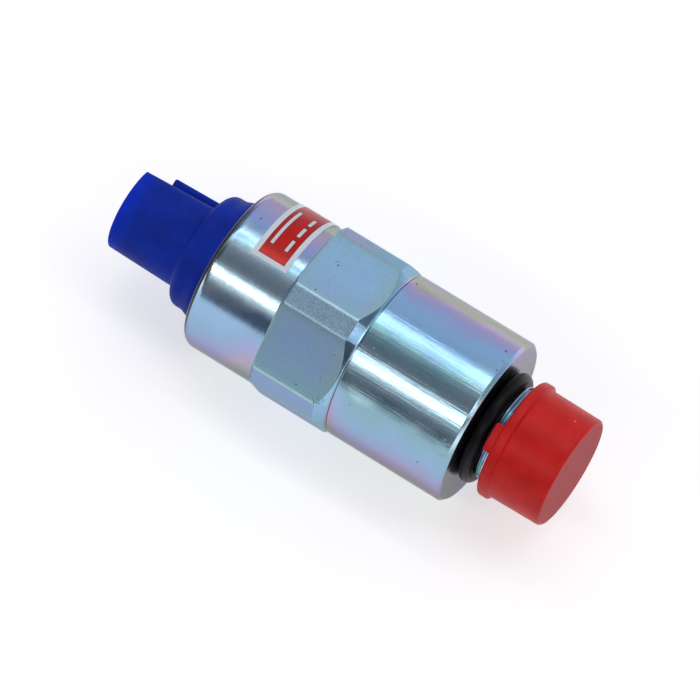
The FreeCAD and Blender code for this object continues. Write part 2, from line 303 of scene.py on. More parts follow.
def hex_column(angle):
    """Over the hexagon at one angle: rear chamfer, flat or corner, and the cone in front."""
    top = hex_reach(angle) - hex_edge
    chamfer_low = hex_chamfer_radius + hex_edge * (1 - math.sqrt(2))
    low = min(chamfer_low, top)
    rise = max(0.0, top - chamfer_low)
    cone = math.radians(hex_cone_angle)
    cone_x = hex_front_x - (top - groove_radius + hex_edge / math.cos(cone)) / math.tan(cone)
    rear = arc(hex_rear_x + hex_edge, low, hex_edge, 180, 135, 4)
    rear_top = arc(hex_rear_x + hex_edge + rise, top, hex_edge, 135, 90, 4)
    front_top = arc(cone_x, top, hex_edge, 90, 90 - hex_cone_angle, 4)
    return rear + rear_top + front_top


def thread_height(turns):
    """How far the thread stands above its root, from 0 to 1, after so many turns. The foot and the
    width of its flank are shares of half a pitch."""
    flank_foot = 0.875
    flank = 0.625
    place = abs(turns % 1.0 - 0.5) * 2
    return min(1.0, max(0.0, (flank_foot - place) / flank))


def thread_column(angle):
    """The helical thread at one angle, from the neck to the chamfered end."""
    samples = 14
    count = round((nose_x - neck_end_x) / thread_pitch * samples)
    depth = thread_radius - thread_root_radius
    points = []
    for i in range(1, count + 1):
        x = neck_end_x + (nose_x - neck_end_x) * i / count
        start = min(1.0, (x - neck_end_x) / thread_run_out)
        turned = (x - neck_end_x) / thread_pitch - angle / 360
        radius = thread_root_radius + depth * start * thread_height(turned)
        radius -= (1 - start) * (thread_root_radius - neck_radius)
        chamfered = thread_root_radius - nose_chamfer + (nose_x - x)
        points.append((x, min(radius, chamfered)))
    return points


def housing_column(angle):
    can = rounded([
        (can_rear_x, lip_radius, 0),
        (can_rear_x, can_radius, can_rear_edge),
        (hex_rear_x, can_radius, 0),
    ], 10)
    cone_foot = 0.2
    cone_rise = cone_foot * math.tan(math.radians(hex_cone_angle))
    front = rounded([
        (hex_front_x - cone_foot, groove_radius + cone_rise, 0),
        (hex_front_x, groove_radius, groove_fillet),
        (hex_front_x, front_radius, front_step_edge),
        (-front_bevel, front_radius, front_bevel_edge),
        (0, front_radius - front_bevel, front_bevel_edge),
        (0, neck_radius, neck_fillet),
        (neck_end_x, neck_radius, 0),
    ])
    inside = [
        (nose_x, stem_bore_radius),
        (stop_x, stem_bore_radius),
        (stop_x, tube_seat_radius),
        (seal_pocket_x, tube_seat_radius),
        (seal_pocket_x, seal_pocket_radius),
        (front_wall_x, seal_pocket_radius),
        (front_wall_x, coil_bore_radius),
        (lip_inner_x, coil_bore_radius),
        (lip_inner_x, lip_radius),
    ]
    lip = arc(can_rear_x + lip_edge, lip_radius + lip_edge, lip_edge, 270, 180, 5)
    return lip + can[1:] + hex_column(angle) + front + thread_column(angle) + inside


def housing_angles():
    """Even angles, with more where a flat meets a blunt corner."""
    angles = set(even_angles(housing_steps))
    for flat in range(6):
        for side in (-1, 1):
            edge = 60 * flat + side * (30 - corner_half_angle)
            angles |= {round((edge + step) % 360, 3) for step in (-1.3, -0.8, -0.4, 0, 0.4, 0.8, 1.3)}
    return sorted(angles)


def make_housing():
    piece = turned_piece("zinc_housing", housing_angles(), housing_column, loop=True)
    keep_flats(piece)
    return piece


def make_seal():
    ring = circle(seal_x, seal_radius, seal_wire / 2, 24)
    return turned_piece("rubber_ring", even_angles(round_steps), lambda angle: ring, loop=True)


def collar_flare(x):
    """The collar's radius where it spreads to the rim of the can, in a soft S."""
    share = min(1.0, max(0.0, (x - flare_start_x) / (flare_end_x - flare_start_x)))
    return collar_radius + (collar_root_radius - collar_radius) * share * share * (3 - 2 * share)


def make_collar():
    flare_steps = 10
    flare = [flare_start_x + (can_rear_x - flare_start_x) * i / flare_steps
             for i in range(1, flare_steps + 1)]
    path = rounded([
        (collar_rear_x, 0, 0),
        (collar_rear_x, collar_radius, collar_edge),
        (flare_start_x, collar_radius, 0),
    ], 10)
    path += [(x, collar_flare(x)) for x in flare]
    path += [
        (lip_inner_x, collar_root_radius),
        (lip_inner_x, flange_radius),
        (seal_rear_x, flange_radius),
        (seal_rear_x, seal_floor_radius),
        (flange_front_x, seal_floor_radius),
        (flange_front_x, 0),
    ]
    return turned_piece("plug_socket", even_angles(round_steps), lambda angle: path)


def flatted_reach(angle, radius, flat):
    """The radius of a round bar with one flat on its key side, its edges a little rounded."""
    crispness = 90
    far_from_flat = 0.3
    turn = math.radians((angle - key_angle + 180) % 360 - 180)
    if math.cos(turn) < far_from_flat:
        return radius
    share = radius ** -crispness + (flat / math.cos(turn)) ** -crispness
    return share ** (-1 / crispness)


def make_shroud():
    """The round shroud: a sharp mouth, a slow taper with one flat, and a fillet at the collar."""
    front_x = collar_rear_x + collar_edge
    fillet_x = collar_rear_x - shroud_fillet

    def column(angle):
        foot = flatted_reach(angle, shroud_base_radius, shroud_base_flat)
        lip = flatted_reach(angle, shroud_mouth_radius, shroud_mouth_flat) - shroud_edge
        fillet = arc(fillet_x, foot + shroud_fillet, shroud_fillet, 0, -90, 6)
        edge = arc(mouth_x + shroud_edge, lip, shroud_edge, 90, 180, 4)
        return [(front_x, 0), (front_x, foot)] + fillet + edge + [(mouth_x, 0)]
    return turned_piece("shroud", even_angles(shroud_steps), column)


def make_socket_bore():
    """What is cut from the shroud: the socket, with a small chamfer at its mouth."""
    outside_x = mouth_x - 1.0

    def column(angle):
        reach = flatted_reach(angle, shroud_mouth_radius - shroud_wall,
                              shroud_mouth_flat - shroud_wall)
        return [
            (outside_x, 0),
            (outside_x, reach + shroud_edge),
            (mouth_x, reach + shroud_edge),
            (mouth_x + shroud_edge, reach),
            (socket_floor_x, reach),
            (socket_floor_x, 0),
        ]
    return turned_piece("socket_bore", even_angles(shroud_steps), column)


def key_frame(x, across, height):
    """A point from its place along the axis, across the key and above the axis at the key."""
    turn = math.radians(key_angle)
    y = height * math.sin(turn) + across * math.cos(turn)
    z = height * math.cos(turn) - across * math.sin(turn)
    return Vector((x, y, z)) * MM


def make_rail():
    """The raised rail on the shroud's flat, with softened edges and a rounded end."""
    front_x = collar_rear_x + collar_edge
    foot = shroud_mouth_flat - shroud_wall / 2
    half = rail_width / 2
    shape = bmesh.new()
    ends = [(rail_rear_x, rail_mouth_height), (front_x, rail_base_height)]
    rings = []
    for x, height in ends:
        corners = ((-half, foot), (-half, height), (half, height), (half, foot))
        rings.append([shape.verts.new(key_frame(x, across, high)) for across, high in corners])
    for k in range(4):
        ahead = (k + 1) % 4
        shape.faces.new((rings[0][k], rings[0][ahead], rings[1][ahead], rings[1][k]))
    shape.faces.new(rings[0])
    shape.faces.new(rings[1][::-1])
    top = rings[0][1:3] + rings[1][1:3]
    edges = [edge for edge in shape.edges
             if all(end in top for end in edge.verts) or all(end in rings[0] for end in edge.verts)]
    bmesh.ops.bevel(shape, geom=edges, offset=rail_edge * MM, segments=5, profile=0.5, affect="EDGES")
    return add_piece("rail", shape)


def make_connector():
    piece = make_collar()
    combine(piece, make_shroud(), "UNION")
    combine(piece, make_rail(), "UNION")
    combine(piece, make_socket_bore(), "DIFFERENCE")
    keep_flats(piece)
    return piece


def make_label():
    thick = rounded([
        (label_low.x, label_inner, 0),
        (label_low.x, label_outer, label_edge),
        (label_high.x, label_outer, label_edge),
        (label_high.x, label_inner, 0),
    ], 3)
    steps = 105
    angles = [label_start + (label_end - label_start) * i / steps for i in range(steps + 1)]
    return turned_piece("wrapped_label", angles, lambda angle: thick, loop=True, wrap=False)


def tab_share(angle):
    """1 over the cap's pull tab, 0 beside it, with rounded corners at the tab's end."""
    aside = abs((angle - cap_tab_angle + 180) % 360 - 180)
    reach = math.radians(aside) * cap_tab_radius
    half = cap_tab_width / 2
    if reach > half + 1e-6:
        return 0.0
    past = max(0.0, reach - (half - cap_tab_corner)) / cap_tab_corner
    drop = cap_tab_corner * (1 - math.sqrt(max(0.0, 1 - past * past)))
    return 1 - drop / (cap_mouth_x - tab_end_x)


def cap_column(angle):
    share = tab_share(angle)
    bead_front_x = cap_mouth_x + cap_bead_length
    outside = rounded([
        (cap_end_x, 0, 0),
        (cap_end_x, cap_end_radius, cap_edge),
        (bead_front_x + cap_step_slant, cap_radius, cap_step_fillet),
        (bead_front_x - cap_step_slant, cap_bead, cap_step_fillet),
        (cap_mouth_x + cap_bead_edge, cap_bead, 0),
    ], 7)
    centre_x = cap_mouth_x + cap_bead_edge
    centre_r = cap_bead - cap_bead_edge
    meet = 180 - math.degrees(math.asin((cap_tab_radius - centre_r) / cap_bead_edge))
    bead = arc(centre_x, centre_r, cap_bead_edge, 90, meet, 6)
    inner_edge = cap_bore + cap_mouth_chamfer
    plain = arc(centre_x, centre_r, cap_bead_edge, meet, 180, 7) + [(cap_mouth_x, inner_edge)]
    tip = 0.2
    tab = [bead[-1]] + arc(tab_end_x + tip, cap_tab_radius - tip, tip, 90, 180, 6)
    tab += [(tab_end_x, inner_edge)]
    mouth = [(plain_x + (tab_x - plain_x) * share, plain_r + (tab_r - plain_r) * share)
             for (plain_x, plain_r), (tab_x, tab_r) in zip(plain, tab)]
    inner_x = mouth[-1][0] + cap_mouth_chamfer
    inside = [
        (inner_x, cap_bore),
        (cap_step_x, cap_bore),
        (cap_step_x, cap_pocket),
        (cap_floor_x, cap_pocket),
        (cap_floor_x, 0),
    ]
    return outside[:-1] + bead + mouth[1:] + inside


def cap_angles():
    """Even angles, with more at the two sides of the pull tab."""
    half = math.degrees(cap_tab_width / 2 / cap_tab_radius)
    corner = math.degrees(cap_tab_corner / cap_tab_radius)
    angles = set(even_angles(round_steps))
    for side in (-1, 1):
        for step in (-1.0, -0.75, -0.5, -0.3, -0.15, -0.05, 0.0):
            angles.add((cap_tab_angle + side * (half + corner * step)) % 360)
        angles.add((cap_tab_angle + side * (half + 0.05)) % 360)
    return sorted(angles)


def make_cap():
    piece = turned_piece("push_on_cap", cap_angles(), cap_column)
    keep_flats(piece)
    return piece


def make_spring():
    """The return spring's wire, wound round the axis, with a round section."""
    first_x = spring_low.x + spring_wire / 2
    length = spring_high.x - spring_wire / 2 - first_x
    stations = 160
    sides = 12
    shape = bmesh.new()
    rings = []
    for i in range(stations + 1):
        share = i / stations
        angle = 180 - 360 * spring_turns * share
        section = circle(first_x + length * share, spring_mean_radius, spring_wire / 2, sides)
        rings.append([shape.verts.new(polar(x, radius, angle)) for x, radius in section])
    for here, there in zip(rings, rings[1:]):
        for k in range(sides):
            ahead = (k + 1) % sides
            shape.faces.new((here[k], here[ahead], there[ahead], there[k]))
    shape.faces.new(rings[0])
    shape.faces.new(rings[-1][::-1])
    return add_piece("coiled_spring", shape)


class Nodes:
    """A short way to write a node tree. Each call returns the output that the next one takes."""

    def __init__(self, owner):
        owner.use_nodes = True
        self.tree = owner.node_tree
        self.tree.nodes.clear()

    def add(self, kind, **settings):
        node = self.tree.nodes.new(kind)
        for key, value in settings.items():
            setattr(node, key, value)
        return node

    def put(self, socket, value):
        """Links an output to a socket, or sets the socket to a constant."""
        if isinstance(value, bpy.types.NodeSocket):
            self.tree.links.new(value, socket)
            return
        if socket.type == "RGBA":
            value = (*value, 1.0)
        socket.default_value = value

    def fill(self, node, *values):
        """Puts values into the node's sockets in their order, and returns its first output."""
        for socket, value in zip(node.inputs, values):
            self.put(socket, value)
        return node.outputs[0]

    def end(self, kind, shader):
        """Adds the tree's output node and links the shader to it."""
        self.put(self.add(kind).inputs["Surface"], shader)

    def math(self, operation, *values):
        return self.fill(self.add("ShaderNodeMath", operation=operation), *values)

    def times(self, a, b):
        return self.math("MULTIPLY", a, b)

    def plus(self, a, b):
        return self.math("ADD", a, b)

    def minus(self, a, b):
        return self.math("SUBTRACT", a, b)

    def higher(self, a, b):
        return self.math("MAXIMUM", a, b)

    def distance(self, a, b):
        return self.math("SQRT", self.plus(self.times(a, a), self.times(b, b)))

    def split(self, place):
        node = self.add("ShaderNodeSeparateXYZ")
        self.put(node.inputs[0], place)
        return node.outputs

    def step(self, value, low, high, start=0.0, end=1.0):
        """Goes smoothly from start to end as the value goes from low to high."""
        node = self.add("ShaderNodeMapRange", interpolation_type="SMOOTHSTEP")
        return self.fill(node, value, low, high, start, end)

    def band(self, value, low, high, soft):
        """1 between low and high, 0 outside, with soft sides."""
        rise = self.step(value, low - soft, low + soft)
        return self.times(rise, self.step(value, high - soft, high + soft, 1.0, 0.0))

    def mix(self, share, a, b):
        node = self.add("ShaderNodeMix", data_type="RGBA")
        self.put(node.inputs["Factor"], share)
        self.put(node.inputs[6], a)
        self.put(node.inputs[7], b)
        return node.outputs[2]

    def ramp(self, value, stops):
        node = self.add("ShaderNodeValToRGB")
        scale = node.color_ramp.elements
        while len(scale) < len(stops):
            scale.new(0.5)
        for element, (place, colour) in zip(scale, stops):
            element.position = place
            element.color = (*colour, 1.0)
        return self.fill(node, value)

    def by_angle(self, turn, stops):
        """A ramp whose stops are angles in degrees, over a turn that is 0 at -180 and 1 at 180."""
        return self.ramp(turn, [((degrees + 180) / 360, colour) for degrees, colour in stops])

    def turn_of(self, angle):
        """An angle in radians as a share of the full turn, 0.5 at an angle of 0."""
        return self.plus(self.math("DIVIDE", angle, 2 * math.pi), 0.5)


class Shader(Nodes):
    """A material's nodes. Coordinates are millimetres in the object's frame."""

    def __init__(self, name):
        self.material = bpy.data.materials.new(name)
        super().__init__(self.material)
        self.surface = self.add("ShaderNodeBsdfPrincipled")
        self.end("ShaderNodeOutputMaterial", self.surface.outputs["BSDF"])
        place = self.add("ShaderNodeTexCoord").outputs["Object"]
        self.place = self.scaled(place, 1 / MM)
        self.x, self.y, self.z = self.split(self.place)
        self.radius = self.distance(self.y, self.z)
        self.angle = self.math("ARCTAN2", self.y, self.z)

    def set(self, **values):
        for key, value in values.items():
            self.put(self.surface.inputs[key.replace("_", " ")], value)

    def scaled(self, place, scale):
        """A place times one number, or times one number for each direction."""
        if not isinstance(scale, tuple):
            scale = (scale,) * 3
        return self.fill(self.add("ShaderNodeVectorMath", operation="MULTIPLY"), place, scale)

    def join(self, x, y, z):
        return self.fill(self.add("ShaderNodeCombineXYZ"), x, y, z)

    def noise(self, place, scale, detail=3.0, roughness=0.5):
        node = self.add("ShaderNodeTexNoise")
        settings = (self.scaled(place, scale), 1.0, detail, roughness)
        for name, setting in zip(("Vector", "Scale", "Detail", "Roughness"), settings):
            self.put(node.inputs[name], setting)
        return node.outputs["Fac"]

    def cells(self, place, scale):
        """The distance to the nearest of many scattered points, as a share of their spacing."""
        node = self.add("ShaderNodeTexVoronoi")
        self.put(node.inputs["Vector"], self.scaled(place, scale))
        self.put(node.inputs["Scale"], 1.0)
        return node.outputs["Distance"]

    def bump(self, height, distance, strength, under=None):
        """A bump whose height of 1 is the given distance in millimetres."""
        node = self.add("ShaderNodeBump")
        self.put(node.inputs["Height"], height)
        self.put(node.inputs["Distance"], distance * MM)
        self.put(node.inputs["Strength"], strength)
        if under is not None:
            self.put(node.inputs["Normal"], under)
        return node.outputs[0]


def srgb(red, green, blue):
    """A colour as it shows on a screen, in the numbers that a shader takes."""
    return tuple((part / 255 / 12.92) if part <= 10 else ((part / 255 + 0.055) / 1.055) ** 2.4
                 for part in (red, green, blue))


# The colours that the plating's film shows round the axis, pale above and deep below: partly the
# film's own tint and partly painted reflection, laid by the angle each side is seen at
plating_pale = srgb(200, 236, 248)
plating_teal = srgb(172, 230, 240)
plating_blue = srgb(158, 202, 246)
plating_lavender = srgb(174, 184, 238)
plating_pink = srgb(200, 186, 220)
plating_green = srgb(176, 186, 160)
deep_teal = srgb(138, 176, 188)
deep_blue = srgb(146, 178, 208)
deep_pink = srgb(158, 150, 170)
deep_green = srgb(150, 172, 160)

front_film_and_reflection = [
    (-180, deep_blue),
    (-150, deep_green),
    (-112, srgb(172, 160, 172)),
    (-97, srgb(170, 164, 202)),
    (-80, deep_blue),
    (-65, deep_teal),
    (-56, plating_pale),
    (-36, plating_pale),
    (-20, plating_teal),
    (-6, plating_blue),
    (5, plating_blue),
    (14, plating_lavender),
    (22, plating_pink),
    (32, plating_green),
    (41, srgb(190, 186, 184)),
    (56, deep_blue),
    (90, plating_lavender),
    (135, deep_pink),
    (180, deep_blue),
]
# Some stops here are painted highlight: they lighten or darken the film where the lamps' reflections
# fall
can_film_and_reflection = [
    (-180, deep_blue),
    (-150, deep_green),
    (-116, srgb(184, 170, 188)),
    (-101, srgb(164, 168, 208)),
    (-86, deep_blue),
    (-64, srgb(152, 186, 218)),
    (-56, srgb(216, 246, 255)),
    (-32, srgb(212, 244, 255)),
    (-23, srgb(180, 226, 246)),
    (-16, srgb(148, 192, 242)),
    (-9, srgb(190, 222, 250)),
    (-3, srgb(158, 192, 242)),
    (6, plating_lavender),
    (20, plating_pink),
    (34, plating_green),
    (48, deep_blue),
    (90, plating_lavender),
    (135, deep_pink),
    (180, deep_blue),
]
flat_plating = [
    (-180, srgb(150, 190, 215)),
    (-120, srgb(152, 182, 208)),
    (-84, srgb(159, 208, 225)),
    (-74, srgb(166, 208, 235)),
    (-60, srgb(164, 200, 238)),
    (-45, srgb(165, 198, 234)),
    (-28, srgb(166, 205, 236)),
    (0, srgb(168, 214, 252)),
    (70, srgb(164, 214, 246)),
    (180, srgb(150, 190, 215)),
]
strip_plating = [
    (-110, srgb(147, 170, 206)),
    (-70, srgb(147, 170, 206)),
    (-55, srgb(184, 222, 244)),
    (0, srgb(184, 222, 244)),
    (15, srgb(178, 192, 222)),
    (60, srgb(178, 192, 222)),
    (100, srgb(160, 190, 215)),
]

# Pits and dark marks on the housing: place along the axis, angle, radius of the mark
wear_marks = [
    (-29.5, 3.2, 0.20),
    (-29.9, 5.5, 0.14),
    (-29.7, -20.3, 0.17),
    (-22.7, -66.5, 0.15),
    (-25.6, -78.3, 0.18),
    (-22.3, -48.1, 0.16),
    (-1.7, 15.3, 0.26),
    (-1.0, 6.0, 0.16),
    (-0.9, -2.0, 0.16),
    (-1.1, -60.4, 0.30),
    (-1.8, -58.0, 0.18),
    (-4.4, -84.1, 0.15),
    (-43.2, 4.0, 0.22),
    (-18.9, 28.0, 0.30),
]
pitted_corner = (-21.7, -80.0, 1.1)

# The film's bands stand as tabled at the angle that the photograph looks at. Near the two steps
# they move away from there: well apart below, hardly above, and above on the front a little closer
seen_angle = -34.5
lower_side_angle = -42.0
upper_side_angle = -28.0
can_spread_length = 7.0
can_spread = 1.4
front_spread_length = 2.6
lower_spread = 0.34
can_upper_spread = 0.04
front_upper_spread = -0.10
film_drift = 0.10

# The front's face begins at x = 0, and its colour, film tint with painted light on its upper part,
# just behind that
face_colour_start = -0.08
face_colour_full = -0.01

# The can's rim is folded: a painted grey edge for its reflection and then a painted dark line of shade
# in the fold. The lip inside them stays bright
fold_grey_end = 0.35
fold_grey_soft = 0.07
fold_end = 0.81
fold_soft = 0.07
fold_inner_radius = 11.4
fold_inner_soft = 0.3

# How far above the groove the hexagon's look begins, and how near its cone's surface the cone's does
hex_skin_rise = 0.16
hex_skin_soft = 0.06
cone_skin_low = -0.10
cone_skin_high = -0.03


def near(s, x, angle, reach):
    """1 within a mark of the given reach on the housing's skin, 0 outside it."""
    along = s.minus(s.x, x)
    beside = s.times(s.minus(s.angle, math.radians(angle)), front_radius)
    return s.step(s.math("DIVIDE", s.distance(along, beside), reach), 0.5, 1.0, 1.0, 0.0)


def film_colour(s, skin, soft, turn, on_front):
    """The rainbow film on the can, the front cylinder, its face and the thread, with painted
    reflection in its bands and painted light on the face and the thread.
    """
    by_step = s.mix(on_front,
                    s.step(s.x, hex_rear_x - can_spread_length, hex_rear_x, 0.0, can_spread),
                    s.step(s.x, hex_front_x, hex_front_x + front_spread_length, 1.0, 0.0))
    above = s.plus(can_upper_spread, s.times(on_front, front_upper_spread - can_upper_spread))
    by_side = s.step(s.angle, math.radians(lower_side_angle), math.radians(upper_side_angle),
                     lower_spread, above)
    spread = s.plus(1.0, s.times(by_step, by_side))
    seen_turn = 0.5 + seen_angle / 360
    film_turn = s.plus(s.times(s.minus(turn, seen_turn), spread), seen_turn)
    film_turn = s.plus(film_turn, s.times(s.minus(soft, 0.5), film_drift))
    film = s.mix(on_front, s.by_angle(film_turn, can_film_and_reflection), s.by_angle(film_turn, front_film_and_reflection))
    on_face = s.step(s.x, face_colour_start, face_colour_full)
    face = s.mix(s.step(soft, 0.40, 0.60), srgb(152, 138, 168), srgb(140, 152, 143))
    # Painted light: the face's upper part is made lighter, where more light falls
    face = s.mix(s.step(s.z, -8.0, 9.0, 0.0, 0.42), face, srgb(206, 206, 222))
    film = s.mix(on_face, film, face)
    on_thread = s.step(s.x, neck_end_x - 0.4, neck_end_x + 0.2)
    # Film tint made lighter as painted light, for the thread that lies in shade between the ring and
    # the cap
    thread_film_and_painted_light = s.ramp(s.noise(skin, (1.4, 0.12, 1.0), 2.0), [
        (0.36, srgb(150, 206, 196)),
        (0.47, srgb(170, 196, 222)),
        (0.56, srgb(196, 190, 226)),
        (0.66, srgb(226, 236, 232)),
    ])
    return s.mix(on_thread, film, thread_film_and_painted_light)


def hexagon_colour(s, turn, grain, from_corner, at_corner, upper, on_cone):
    """The flats with their greenish borders, the pitted blunt corners and the cone in front."""
    mottle = s.noise(s.place, 0.22, 3.0, 0.55)
    flats = s.by_angle(turn, flat_plating)
    flats = s.mix(s.step(mottle, 0.50, 0.70, 0.0, 0.35), flats, srgb(172, 196, 244))
    flats = s.mix(s.step(mottle, 0.32, 0.48, 0.35, 0.0), flats, srgb(160, 210, 214))
    side = math.radians(corner_half_angle)
    from_side = s.step(from_corner, side, side + math.radians(5), 0.6, 0.0)
    from_front = s.step(s.x, hex_front_x - 4.0, hex_front_x - 0.4, 0.0, 0.55)
    from_rear = s.step(s.x, hex_rear_x + 0.2, hex_rear_x + 1.4, 0.5, 0.0)
    flats = s.mix(s.higher(from_side, s.higher(from_front, from_rear)), flats, srgb(172, 208, 200))
    flats = s.mix(s.step(grain, 0.40, 0.60, 0.10, 0.0), flats, srgb(90, 110, 130))
    stripe = s.by_angle(turn, strip_plating)
    pitted = s.times(s.step(grain, 0.36, 0.58, 0.36, 0.0), upper)
    stripe = s.mix(pitted, stripe, srgb(96, 112, 122))
    towards_front = s.step(s.x, hex_rear_x + 3.0, hex_front_x - 3.0, 0.0, 0.85)
    far_strip = s.times(s.step(s.angle, 0.0, 0.3), towards_front)
    stripe = s.mix(far_strip, stripe, srgb(146, 196, 218))
    flats = s.mix(at_corner, flats, stripe)
    return s.mix(s.times(on_cone, 0.8), flats, srgb(144, 186, 216))


def wear_share(s, skin, soft):
    """1 on pits, knocks and specks, with ragged sides."""
    worn = near(s, *wear_marks[0])
    for mark in wear_marks[1:]:
        worn = s.higher(worn, near(s, *mark))
    pits = s.step(s.noise(skin, 2.6, 2.0, 0.6), 0.56, 0.62)
    worn = s.higher(worn, s.times(pits, near(s, *pitted_corner)))
    specks = s.step(s.cells(skin, 0.5), 0.03, 0.07, 1.0, 0.0)
    worn = s.higher(worn, s.times(specks, s.step(soft, 0.50, 0.56, 0.0, 0.6)))
    return s.times(worn, s.step(s.noise(skin, 7.0, 2.0), 0.36, 0.56, 0.3, 1.0))


def zinc_material():
    """Zinc plating with a thin rainbow film, turned on the round parts and grainy on the hexagon."""
    s = Shader("bright_zinc")
    skin = s.join(s.x, s.times(s.angle, front_radius), s.radius)
    turn = s.turn_of(s.angle)
    along_hexagon = s.band(s.x, hex_rear_x + 0.05, hex_front_x - 0.3, 0.05)
    skin_radius = groove_radius + hex_skin_rise
    in_hexagon = s.times(along_hexagon,
                         s.step(s.radius, skin_radius - hex_skin_soft, skin_radius + hex_skin_soft))
    turned = s.minus(1.0, in_hexagon)
    cone_slope = math.tan(math.radians(hex_cone_angle))
    cone_radius = s.plus(s.times(s.minus(hex_front_x, s.x), cone_slope), groove_radius)
    over_cone = s.minus(s.radius, cone_radius)
    on_cone = s.times(s.step(over_cone, cone_skin_low, cone_skin_high), in_hexagon)
    sector = s.math("MODULO", s.plus(s.angle, 4 * math.pi), math.pi / 3)
    from_corner = s.math("ABSOLUTE", s.minus(sector, math.pi / 6))
    at_corner = s.step(from_corner, math.radians(corner_half_angle - 0.4),
                       math.radians(corner_half_angle + 0.1), 1.0, 0.0)
    blunt = s.times(in_hexagon, at_corner)
    upper = s.step(s.angle, math.radians(-70), math.radians(-45), 0.3, 1.0)
    on_front = s.step(s.x, hex_rear_x, hex_front_x)
    soft = s.noise(skin, (0.10, 0.08, 0.1), 2.0)
    grain = s.noise(s.place, 3.0, 4.0, 0.7)

    colour = s.mix(in_hexagon, film_colour(s, skin, soft, turn, on_front),
                   hexagon_colour(s, turn, grain, from_corner, at_corner, upper, on_cone))
    worn = wear_share(s, skin, soft)
    dark_worn = s.times(worn, 0.85)
    colour = s.mix(dark_worn, colour, srgb(44, 43, 40))
    # Painted reflection and shade at the rim: a grey edge line, then a dark line of shade in the fold
    from_rim = s.minus(s.x, can_rear_x)
    fold_shade = s.times(s.step(from_rim, fold_end - fold_soft, fold_end + fold_soft, 1.0, 0.0),
                   s.step(s.radius, fold_inner_radius - fold_inner_soft,
                          fold_inner_radius + fold_inner_soft))
    past_grey = s.step(from_rim, fold_grey_end - fold_grey_soft, fold_grey_end + fold_grey_soft)
    colour = s.mix(fold_shade, colour, s.mix(past_grey, srgb(120, 122, 150), srgb(44, 40, 38)))

    lines = s.noise(skin, (9.0, 0.06, 9.0), 3.0, 0.6)
    scratches = s.noise(skin, (3.2, 1.0, 3.2), 3.0, 0.7)
    streaks = s.noise(skin, (0.08, 4.6, 1.0), 3.0, 0.6)
    fine = s.noise(s.place, 5.0, 4.0, 0.65)
    roughness = s.plus(0.18, s.times(in_hexagon, 0.16))
    roughness = s.plus(roughness, s.times(blunt, 0.06))
    roughness = s.minus(roughness, s.times(on_cone, 0.20))
    roughness = s.plus(roughness, s.times(s.minus(scratches, 0.5), 0.16))
    roughness = s.plus(roughness, s.times(worn, 0.3))
    relief = s.bump(s.times(lines, turned), 0.004, 0.7)
    relief = s.bump(s.times(scratches, turned), 0.026, 0.7, relief)
    relief = s.bump(s.times(streaks, s.times(on_front, turned)), 0.024, 0.8, relief)
    relief = s.bump(s.times(fine, in_hexagon), 0.008, 0.6, relief)
    relief = s.bump(s.times(grain, s.times(blunt, upper)), 0.03, 0.8, relief)
    relief = s.bump(s.minus(1.0, worn), 0.04, 0.8, relief)
    # Dull, not metal, on the pits and in the painted shade of the fold
    metal = s.minus(1.0, s.higher(fold_shade, dark_worn))
    s.set(Base_Color=colour, Metallic=metal, Roughness=roughness, Normal=relief)
    s.set(Specular_Tint=(0.6, 0.6, 0.62), Specular_IOR_Level=0.1)
    return s.material


def rubber_material():
    s = Shader("black_rubber")
    mottle = s.noise(s.place, 1.2, 4.0)
    dust = s.step(s.noise(s.place, 6.0, 2.0), 0.66, 0.74)
    colour = s.mix(mottle, srgb(7, 7, 8), srgb(13, 13, 15))
    colour = s.mix(s.times(dust, 0.10), colour, srgb(70, 70, 74))
    roughness = s.plus(0.30, s.times(mottle, 0.16))
    s.set(Base_Color=colour, Roughness=roughness, Normal=s.bump(mottle, 0.02, 0.5))
    s.set(Specular_IOR_Level=0.2)
    return s.material


def blue_plastic_material():
    """Smooth blue moulding, with painted light: a lighter blue near the thin mouth, where light shines
    through, and a painted sheen on the lower side.
    """
    s = Shader("blue_plastic")
    mottle = s.noise(s.place, 0.16)
    fine = s.noise(s.place, 2.5, 4.0, 0.6)
    scuff = s.step(s.noise(s.place, 0.5, 4.0, 0.7), 0.62, 0.76)
    colour = s.mix(s.step(mottle, 0.3, 0.7), srgb(16, 46, 160), srgb(20, 58, 186))
    # Painted light: lighter blue near the mouth, where light shines through the thin walls
    painted_mouth_glow = s.step(s.x, mouth_x, mouth_x + 3.5, 0.8, 0.0)
    colour = s.mix(painted_mouth_glow, colour, srgb(10, 54, 220))
    # Painted sheen: lighter blue on the lower side
    low = s.step(s.z, -7.5, -2.0, 0.6, 0.0)
    colour = s.mix(low, colour, srgb(8, 46, 204))
    colour = s.mix(s.times(scuff, 0.10), colour, srgb(90, 105, 190))
    roughness = s.plus(0.44, s.times(fine, 0.16))
    s.set(Base_Color=colour, Roughness=roughness, Normal=s.bump(fine, 0.010, 0.5))
    s.set(Specular_IOR_Level=0.1)
    s.set(Subsurface_Weight=0.12, Subsurface_Radius=(0.0002, 0.0004, 0.0016), Subsurface_Scale=1.0)
    return s.material


